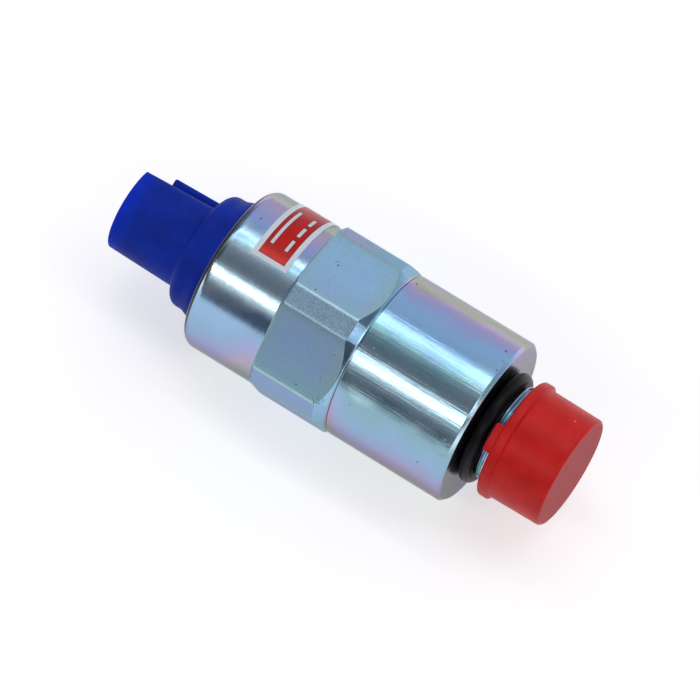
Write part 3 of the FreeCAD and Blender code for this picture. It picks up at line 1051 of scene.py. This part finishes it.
def red_plastic_material():
    """Soft red plastic with a dusty end, a few pale scuffs and one small chip."""
    s = Shader("red_plastic")
    mottle = s.noise(s.place, 0.3)
    fine = s.noise(s.place, 3.0, 4.0, 0.6)
    colour = s.mix(s.step(mottle, 0.3, 0.7), srgb(216, 18, 16), srgb(234, 28, 24))
    dusty_radius = cap_end_radius - cap_edge
    on_end = s.times(s.step(s.x, cap_end_x - 0.10, cap_end_x - 0.02),
                     s.step(s.radius, dusty_radius - 0.15, dusty_radius + 0.15, 1.0, 0.0))
    dust = s.noise(s.place, 0.9, 5.0, 0.65)
    dust_share = s.times(on_end, s.step(dust, 0.25, 0.70, 0.45, 0.75))
    colour = s.mix(dust_share, colour, srgb(190, 98, 100))
    colour = s.mix(s.times(s.step(fine, 0.62, 0.75), 0.08), colour, srgb(235, 140, 140))
    chip_x, chip_angle, chip_size = 11.9, 15.0, 0.17
    beside = s.times(s.minus(s.angle, math.radians(chip_angle)), cap_end_radius)
    away = s.distance(s.minus(s.x, chip_x), beside)
    colour = s.mix(s.step(away, chip_size * 0.5, chip_size, 0.8, 0.0), colour, srgb(245, 190, 180))
    roughness = s.plus(0.36, s.times(fine, 0.14))
    roughness = s.plus(roughness, s.times(on_end, 0.2))
    s.set(Base_Color=colour, Roughness=roughness, Normal=s.bump(fine, 0.012, 0.5))
    s.set(Specular_IOR_Level=0.3)
    s.set(Subsurface_Weight=0.10, Subsurface_Radius=(0.0016, 0.0004, 0.0003), Subsurface_Scale=1.0)
    return s.material


def label_material():
    """A red field with a thin dark outline and a pale border, and the sign for direct current."""
    s = Shader("printed_label")
    reach = s.times(s.minus(s.angle, math.radians(label_start)), label_outer)
    across = s.minus(s.x, label_low.x)
    length = math.radians(label_end - label_start) * label_outer
    width = label_high.x - label_low.x
    border = 0.92
    outline = 0.10
    print_soft = 0.03
    sign_start = 3.0
    stroke = 0.52
    lit_end = (1.0, 2.6)
    painted_shade_span = (6.0, 20.0)
    dashes = 3
    dash = 2.3
    gap = 1.0
    line_across = 1.45
    dashes_across = 3.95

    def box(low_u, high_u, low_v, high_v, margin):
        """1 inside a box on the label that is grown by the margin on each side."""
        along = s.band(reach, low_u - margin, high_u + margin, print_soft)
        return s.times(along, s.band(across, low_v - margin, high_v + margin, print_soft))

    def sign(margin):
        """1 on the sign's line and its row of dashes."""
        end = sign_start + dashes * dash + (dashes - 1) * gap
        drawn = box(sign_start, end, line_across, line_across + stroke, margin)
        for i in range(dashes):
            start = sign_start + i * (dash + gap)
            mark = box(start, start + dash, dashes_across, dashes_across + stroke, margin)
            drawn = s.higher(drawn, mark)
        return drawn

    pale = s.mix(s.noise(s.place, 0.8), srgb(234, 243, 250), srgb(246, 250, 254))
    mottle = s.noise(s.place, 0.5)
    red = s.mix(s.step(mottle, 0.3, 0.7), srgb(206, 20, 18), srgb(222, 28, 24))
    # Painted highlight near the label's lower end, and painted shade towards its far side
    red = s.mix(s.step(reach, *lit_end, 0.75, 0.0), red, srgb(250, 74, 58))
    red = s.mix(s.step(reach, *painted_shade_span, 0.0, 0.75), red, srgb(158, 10, 8))
    dark = srgb(78, 26, 56)
    colour = s.mix(box(border, length - border, border, width - border, outline), pale, dark)
    colour = s.mix(box(border, length - border, border, width - border, 0.0), colour, red)
    colour = s.mix(sign(outline), colour, dark)
    colour = s.mix(sign(0.0), colour, srgb(238, 238, 242))
    fine = s.noise(s.place, 4.0)
    s.set(Base_Color=colour, Roughness=s.plus(0.26, s.times(fine, 0.1)),
          Normal=s.bump(mottle, 0.02, 0.4))
    s.set(Specular_IOR_Level=0.22)
    return s.material


def metal_material(name, dark, light, roughness, lines):
    """A plain metal, mottled, with fine lines of the given scales along, round and outwards."""
    s = Shader(name)
    mottle = s.noise(s.place, 0.6, 4.0)
    fine = s.noise(s.join(s.x, s.angle, s.radius), lines)
    s.set(Base_Color=s.mix(mottle, srgb(*dark), srgb(*light)), Metallic=1.0,
          Roughness=s.plus(roughness, s.times(fine, 0.12)), Normal=s.bump(fine, 0.006, 0.5))
    return s.material


def moulded_material(name, dark, light):
    s = Shader(name)
    mottle = s.noise(s.place, 1.0, 4.0)
    s.set(Base_Color=s.mix(mottle, srgb(*dark), srgb(*light)), Normal=s.bump(mottle, 0.02, 0.5),
          Roughness=s.plus(0.4, s.times(mottle, 0.2)))
    return s.material


def copper_material():
    """Enamelled wire, wound side by side round the axis."""
    s = Shader("copper_wire")
    wire_diameter = 0.35
    turns = s.times(s.x, 2 * math.pi / wire_diameter)
    wave = s.times(s.plus(s.math("SINE", turns), 1.0), 0.5)
    colour = s.mix(s.noise(s.place, 0.7), srgb(150, 76, 34), srgb(196, 112, 60))
    # Painted shade in the grooves between the turns
    colour = s.mix(s.step(wave, 0.0, 0.5, 0.6, 0.0), colour, srgb(60, 26, 12))
    s.set(Base_Color=colour, Metallic=0.9, Roughness=0.32, Normal=s.bump(wave, 0.12, 0.8))
    return s.material


def dress(piece, material):
    piece.data.materials.clear()
    piece.data.materials.append(material)


def place_made_pieces(rubber):
    """Makes the pieces that stand for CAD nodes."""
    made = [
        (make_housing(), "housing", "solenoid", "plated_steel", zinc_material()),
        (make_seal(), "nose_o_ring", "solenoid", "black_rubber", rubber),
        (make_connector(), "connector_body", "solenoid", "blue_plastic", blue_plastic_material()),
        (make_label(), "rating_label", "solenoid", "red_label", label_material()),
        (make_cap(), "protective_cap", "cap", "red_plastic", red_plastic_material()),
    ]
    for piece, node, body, slot, material in made:
        dress(piece, material)
        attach(piece, body)
        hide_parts(node)
    spring = make_spring()
    dress(spring, metal_material("spring_wire", (105, 106, 110), (140, 141, 146), 0.3, 3.0))
    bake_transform(spring)
    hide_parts("return_spring")


def dress_other_nodes(rubber):
    """Gives every node that stays as it is in the frame its material."""
    steel = metal_material("turned_steel", (120, 122, 124), (150, 152, 155), 0.28, (6.0, 0.3, 6.0))
    stainless = metal_material("drawn_stainless", (160, 162, 164), (185, 187, 190), 0.24,
                               (0.5, 5.0, 0.5))
    tin = metal_material("tinned_strip", (188, 186, 178), (212, 210, 204), 0.26, (1.0, 6.0, 6.0))
    copper = copper_material()
    finishes = {
        "terminal_left": tin,
        "terminal_right": tin,
        "connector_seal": rubber,
        "rear_flux_plate": steel,
        "bobbin": moulded_material("black_moulding", (30, 30, 32), (46, 46, 50)),
        "winding": copper,
        "coil_lead_left": copper,
        "coil_lead_right": copper,
        "fixed_core": steel,
        "guide_tube": stainless,
        "tube_seal": rubber,
        "coil_washer": rubber,
        "residual_shim": stainless,
        "plunger": steel,
        "plunger_tip": rubber,
    }
    for node, material in finishes.items():
        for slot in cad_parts[node].material_slots:
            slot.link = "OBJECT"
            slot.material = material


def make_floor():
    """A pale floor 20 m wide, just under the lowest flat. It glows for rays that see a background."""
    half = 10.0
    gap = 0.02
    shape = bmesh.new()
    level = cad_box[0][2] - gap * MM
    corners = [(-half, -half), (half, -half), (half, half), (-half, half)]
    shape.faces.new([shape.verts.new((x, y, level)) for x, y in corners])
    mesh = bpy.data.meshes.new("floor")
    shape.to_mesh(mesh)
    shape.free()
    floor = bpy.data.objects.new("floor", mesh)
    bpy.context.scene.collection.objects.link(floor)
    material = bpy.data.materials.new("pale_floor")
    n = Nodes(material)
    path = n.add("ShaderNodeLightPath").outputs
    background = n.higher(n.higher(path["Is Camera Ray"], path["Is Glossy Ray"]),
                          path["Is Transmission Ray"])
    diffuse = n.fill(n.add("ShaderNodeBsdfDiffuse"), (0.8, 0.8, 0.8))
    glow = n.fill(n.add("ShaderNodeEmission"), (0.55, 0.55, 0.55), background)
    n.end("ShaderNodeOutputMaterial", n.fill(n.add("ShaderNodeAddShader"), diffuse, glow))
    floor.data.materials.append(material)


# How bright the room is, by direction round the object's axis in degrees from straight up towards
# the back: dark low in front, a soft glow beside each lamp, and an even grey behind
room_levels = [
    (-90, 0.17),
    (-80, 0.11),
    (-70, 0.12),
    (-64, 0.20),
    (-58, 0.55),
    (-46, 0.70),
    (-41, 0.20),
    (-35, 0.11),
    (-27, 0.12),
    (-18, 0.16),
    (-11, 0.24),
    (-5, 0.46),
    (2, 0.75),
    (18.5, 0.80),
    (21.5, 0.32),
    (30, 0.55),
    (90, 0.62),
]

# The same for what the faces turned to the nose reflect: dark, with a window between the lamps
nose_room_levels = [
    (-132, 0.45),
    (-120, 0.12),
    (-100, 0.10),
    (-42, 0.10),
    (-32, 0.90),
    (-24, 2.20),
    (-14, 1.80),
    (0, 0.20),
    (24, 0.20),
    (60, 0.38),
    (110, 0.40),
]

# A room's blue is a little over its red and green, and more so where it is dark
blue_share = 1.06
dark_blue_share = 1.22
dark_level = 0.3


def make_world():
    """The room as the metal reflects it, and plain white where the camera looks past the object."""
    world = bpy.data.worlds.new("studio")
    bpy.context.scene.world = world
    n = Nodes(world)
    x, y, z = n.split(n.add("ShaderNodeTexCoord").outputs["Generated"])
    turn = n.turn_of(n.math("ARCTAN2", y, z))

    def room(levels):
        stops = []
        for angle, level in levels:
            blue = level * (blue_share if level > dark_level else dark_blue_share)
            stops.append((angle, (level, level, blue)))
        return n.by_angle(turn, stops)

    seen = n.mix(n.step(x, 0.60, 0.84), room(room_levels), room(nose_room_levels))
    past_rear = n.step(x, -0.80, -0.42, 0.22, 1.0)
    light = n.fill(n.add("ShaderNodeBackground"), seen, past_rear)
    white = n.fill(n.add("ShaderNodeBackground"), (1.0, 1.0, 1.0), 1.0)
    camera_ray = n.add("ShaderNodeLightPath").outputs["Is Camera Ray"]
    pick = n.fill(n.add("ShaderNodeMixShader"), camera_ray, light, white)
    n.end("ShaderNodeOutputWorld", pick)


def add_light(name, toward, size, power):
    """A rectangular light, its long side along the object, in the given direction from it."""
    aim = Vector((-0.022, 0, 0))
    distance = 1.2
    data = bpy.data.lights.new(name, "AREA")
    data.shape = "RECTANGLE"
    data.size, data.size_y = size
    data.energy = power
    lamp = bpy.data.objects.new(name, data)
    bpy.context.scene.collection.objects.link(lamp)
    away = Vector(toward).normalized()
    side = Vector((1, 0, 0))
    side = (side - away * side.dot(away)).normalized()
    up = away.cross(side)
    turn = Matrix((side, up, away)).transposed().to_4x4()
    lamp.matrix_world = Matrix.Translation(aim + away * distance) @ turn


def make_camera():
    """Looks from the photograph's side, with the object lying across the view."""
    toward_camera = Vector((0.22, -0.5525, 0.8039)).normalized()
    right = Vector((0.8322, 0.5363, 0.1408))
    right = (right - toward_camera * right.dot(toward_camera)).normalized()
    up = toward_camera.cross(right)
    middle_up = 10.86
    middle_right = -20.48
    target = (up * middle_up + right * middle_right) * MM
    distance = 1.0
    seen_width = 0.103
    data = bpy.data.cameras.new("camera")
    data.sensor_width = 36.0
    data.lens = data.sensor_width * distance / seen_width
    data.clip_end = 100.0
    camera = bpy.data.objects.new("camera", data)
    bpy.context.scene.collection.objects.link(camera)
    turn = Matrix((right, up, toward_camera)).transposed().to_4x4()
    camera.matrix_world = Matrix.Translation(target + toward_camera * distance) @ turn
    bpy.context.scene.camera = camera


black_rubber = rubber_material()
place_made_pieces(black_rubber)
dress_other_nodes(black_rubber)
make_floor()
make_world()
add_light("strip", (-0.22, -0.745, 0.625), (2.4, 0.10), 2.9)
add_light("overhead", (-0.22, 0.20, 0.95), (2.4, 0.10), 1.8)
add_light("overhead_edge", (-0.22, 0.04, 0.97), (2.4, 0.05), 0.6)
make_camera()
bpy.context.scene.view_settings.view_transform = "Standard"
